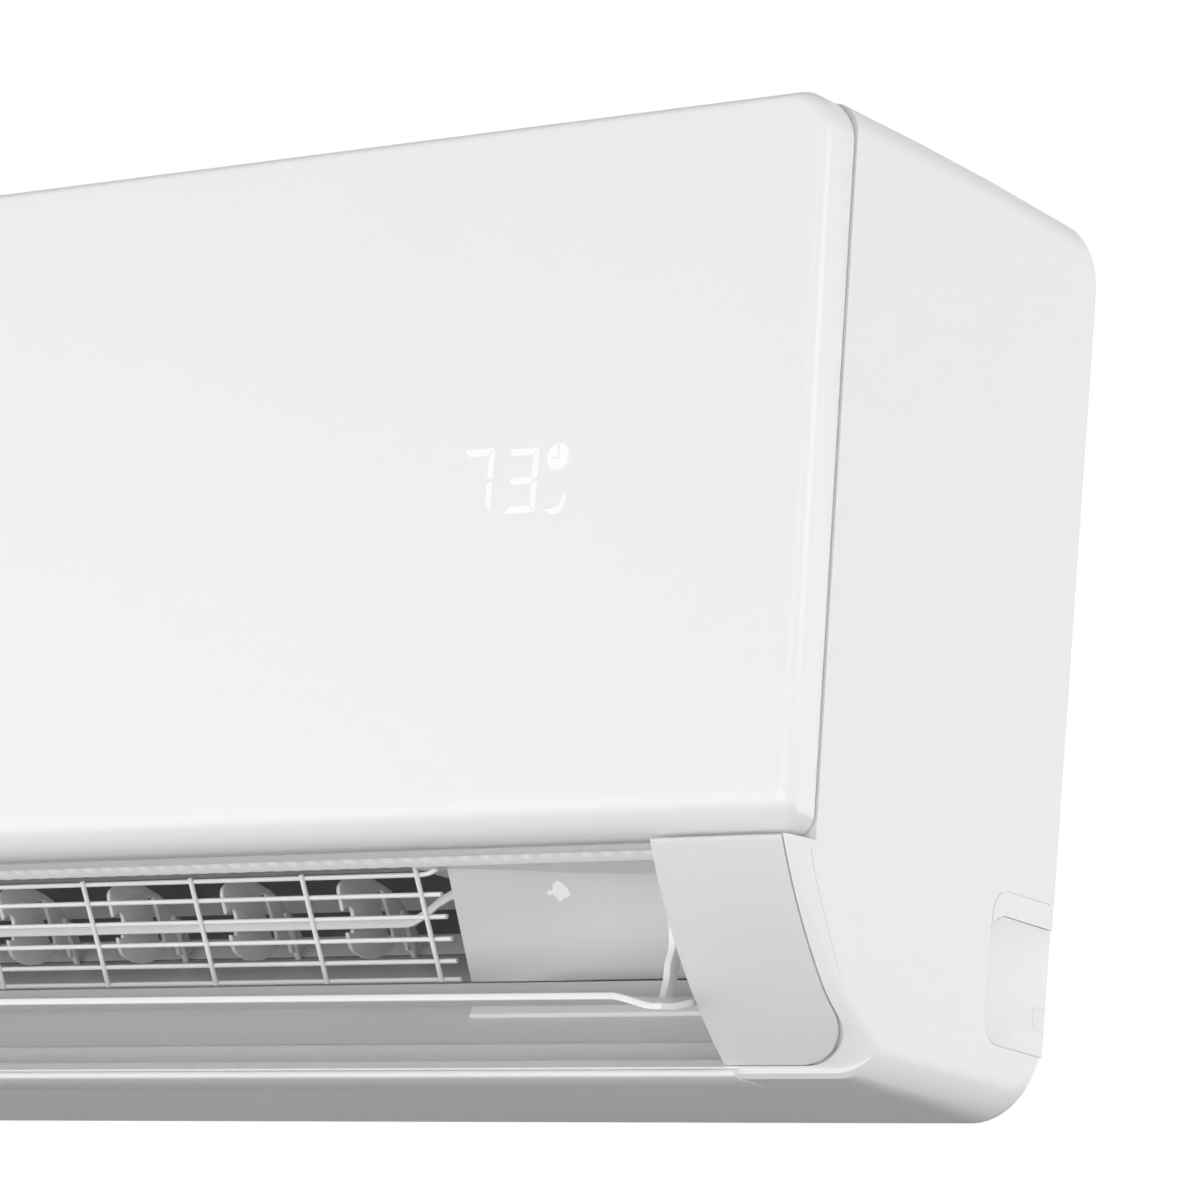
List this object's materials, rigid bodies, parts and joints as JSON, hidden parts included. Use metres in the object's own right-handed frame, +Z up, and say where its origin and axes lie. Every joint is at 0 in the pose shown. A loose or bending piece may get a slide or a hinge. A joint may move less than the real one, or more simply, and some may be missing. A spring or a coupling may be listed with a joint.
{
  "type": "air conditioner indoor unit",
  "caption": "Wall-hung indoor unit of a mini split air conditioner with a lift-up front panel, a tilting louver, swing vanes behind a wire guard and a cross-flow fan.",
  "frame": {"origin": "middle of the wall plate's rear face, on the wall", "axes": "+X to the unit's right end seen from the front, +Y into the wall, +Z up"},
  "size_m": [0.8, 0.1594, 0.2952],
  "materials": {
    "white_plastic": "white moulded plastic with a satin gloss",
    "silver_plastic": "silver-grey moulded plastic",
    "grey_plastic": "light grey moulded plastic, semi-matt",
    "dark_plastic": "dark grey plastic",
    "filter_plastic": "grey-blue filter frame",
    "zinc_steel": "zinc-plated sheet steel",
    "fin_aluminium": "thin aluminium fins",
    "copper_tube": "drawn copper tube",
    "brass_nut": "forged brass",
    "circuit_green": "green circuit board with dark parts",
    "black_rubber": "black rubber"
  },
  "bodies": {
    "housing": {"mounting_plate": "zinc_steel", "rear_chassis": "grey_plastic", "air_outlet": "grey_plastic", "front_casing": "white_plastic", "end_cover_right": "silver_plastic", "end_cover_left": "silver_plastic", "pipe_cover_right": "white_plastic", "pipe_cover_left": "white_plastic", "casing_screw_right": "zinc_steel", "casing_screw_left": "zinc_steel", "wire_guard": "silver_plastic", "louver_motor": "white_plastic", "louver_bush": "silver_plastic", "vane_motor": "white_plastic", "fan_bearing": "black_rubber", "bearing_holder": "grey_plastic", "fan_motor": "zinc_steel", "motor_cover": "grey_plastic", "coil_front": "fin_aluminium", "coil_upper": "fin_aluminium", "coil_rear": "fin_aluminium", "coil_end_plate_right": "copper_tube", "coil_end_plate_left": "copper_tube", "gas_pipe": "copper_tube", "liquid_pipe": "copper_tube", "pipe_clamp": "zinc_steel", "drain_hose": "black_rubber", "room_sensor": "copper_tube", "gas_flare_nut": "brass_nut", "liquid_flare_nut": "brass_nut", "electric_box": "dark_plastic", "electric_box_cover": "dark_plastic", "circuit_board": "circuit_green", "terminal_block": "black_rubber", "drain_plug": "black_rubber"},
    "panel": {"front_panel": "white_plastic", "display_board": "circuit_green"},
    "louver_blade": {"louver": "white_plastic"},
    "fan_rotor": {"crossflow_fan": "dark_plastic", "fan_shaft_left": "zinc_steel", "fan_shaft_right": "zinc_steel"},
    "filter_left": {"air_filter_left": "filter_plastic"},
    "filter_right": {"air_filter_right": "filter_plastic"},
    "service_button": {"emergency_button": "grey_plastic"},
    "vane_bar": {"vane_link": "silver_plastic"},
    "crank": {"vane_crank": "silver_plastic"},
    "vane_01": {"vane_01": "silver_plastic"},
    "vane_02": {"vane_02": "silver_plastic"},
    "vane_03": {"vane_03": "silver_plastic"},
    "vane_04": {"vane_04": "silver_plastic"},
    "vane_05": {"vane_05": "silver_plastic"},
    "vane_06": {"vane_06": "silver_plastic"},
    "vane_07": {"vane_07": "silver_plastic"},
    "vane_08": {"vane_08": "silver_plastic"},
    "vane_09": {"vane_09": "silver_plastic"},
    "vane_10": {"vane_10": "silver_plastic"}
  },
  "joints": [
    {"name": "panel_hinge", "type": "hinge", "parent": "housing", "child": "panel", "pos_m": [0, -0.14822, 0.144], "axis": [-1, 0, 0], "range_deg": [0, 60]},
    {"name": "louver_turn", "type": "hinge", "parent": "housing", "child": "louver_blade", "pos_m": [0, -0.1085, -0.0959], "axis": [-1, 0, 0], "range_deg": [0, 64.3]},
    {"name": "fan_spin", "type": "hinge", "parent": "housing", "child": "fan_rotor", "pos_m": [0, -0.066, 0.002], "axis": [1, 0, 0], "continuous": true},
    {"name": "filter_left_lift", "type": "slide", "parent": "housing", "child": "filter_left", "axis": [0, 0, 1], "range_m": [0, 0.2]},
    {"name": "filter_right_lift", "type": "slide", "parent": "housing", "child": "filter_right", "axis": [0, 0, 1], "range_m": [0, 0.2]},
    {"name": "button_press", "type": "slide", "parent": "housing", "child": "service_button", "axis": [0, 1, 0], "range_m": [0, 0.002], "stiffness_N_per_m": 300, "springref_m": -0.001},
    {"name": "vane_01_turn", "type": "hinge", "parent": "housing", "child": "vane_01", "pos_m": [0.175, -0.041, -0.0914], "axis": [0, -0.5769, 0.8168], "range_deg": [-30, 30]},
    {"name": "vane_02_turn", "type": "hinge", "parent": "housing", "child": "vane_02", "pos_m": [0.125, -0.041, -0.0914], "axis": [0, -0.5769, 0.8168], "range_deg": [-30, 30]},
    {"name": "vane_03_turn", "type": "hinge", "parent": "housing", "child": "vane_03", "pos_m": [0.075, -0.041, -0.0914], "axis": [0, -0.5769, 0.8168], "range_deg": [-30, 30]},
    {"name": "vane_04_turn", "type": "hinge", "parent": "housing", "child": "vane_04", "pos_m": [0.025, -0.041, -0.0914], "axis": [0, -0.5769, 0.8168], "range_deg": [-30, 30]},
    {"name": "vane_05_turn", "type": "hinge", "parent": "housing", "child": "vane_05", "pos_m": [-0.025, -0.041, -0.0914], "axis": [0, -0.5769, 0.8168], "range_deg": [-30, 30]},
    {"name": "vane_06_turn", "type": "hinge", "parent": "housing", "child": "vane_06", "pos_m": [-0.075, -0.041, -0.0914], "axis": [0, -0.5769, 0.8168], "range_deg": [-30, 30]},
    {"name": "vane_07_turn", "type": "hinge", "parent": "housing", "child": "vane_07", "pos_m": [-0.125, -0.041, -0.0914], "axis": [0, -0.5769, 0.8168], "range_deg": [-30, 30]},
    {"name": "vane_08_turn", "type": "hinge", "parent": "housing", "child": "vane_08", "pos_m": [-0.175, -0.041, -0.0914], "axis": [0, -0.5769, 0.8168], "range_deg": [-30, 30]},
    {"name": "vane_09_turn", "type": "hinge", "parent": "housing", "child": "vane_09", "pos_m": [-0.225, -0.041, -0.0914], "axis": [0, -0.5769, 0.8168], "range_deg": [-30, 30]},
    {"name": "vane_10_turn", "type": "hinge", "parent": "housing", "child": "vane_10", "pos_m": [-0.275, -0.041, -0.0914], "axis": [0, -0.5769, 0.8168], "range_deg": [-30, 30]},
    {"name": "link_turn", "type": "hinge", "parent": "vane_01", "child": "vane_bar", "pos_m": [0.175, -0.0769, -0.089], "axis": [0, -0.5769, 0.8168], "range_deg": [-30, 30]},
    {"name": "crank_turn", "type": "hinge", "parent": "housing", "child": "crank", "pos_m": [0.27, -0.041, -0.0914], "axis": [0, -0.5769, 0.8168], "range_deg": [-30, 30]}
  ],
  "couplings": [
    {"joint": "vane_02_turn", "follows": "vane_01_turn", "ratio": 1},
    {"joint": "vane_03_turn", "follows": "vane_01_turn", "ratio": 1},
    {"joint": "vane_04_turn", "follows": "vane_01_turn", "ratio": 1},
    {"joint": "vane_05_turn", "follows": "vane_01_turn", "ratio": 1},
    {"joint": "vane_06_turn", "follows": "vane_01_turn", "ratio": 1},
    {"joint": "vane_07_turn", "follows": "vane_01_turn", "ratio": 1},
    {"joint": "vane_08_turn", "follows": "vane_01_turn", "ratio": 1},
    {"joint": "vane_09_turn", "follows": "vane_01_turn", "ratio": 1},
    {"joint": "vane_10_turn", "follows": "vane_01_turn", "ratio": 1},
    {"joint": "crank_turn", "follows": "vane_01_turn", "ratio": 1},
    {"joint": "link_turn", "follows": "vane_01_turn", "ratio": -1}
  ]
}
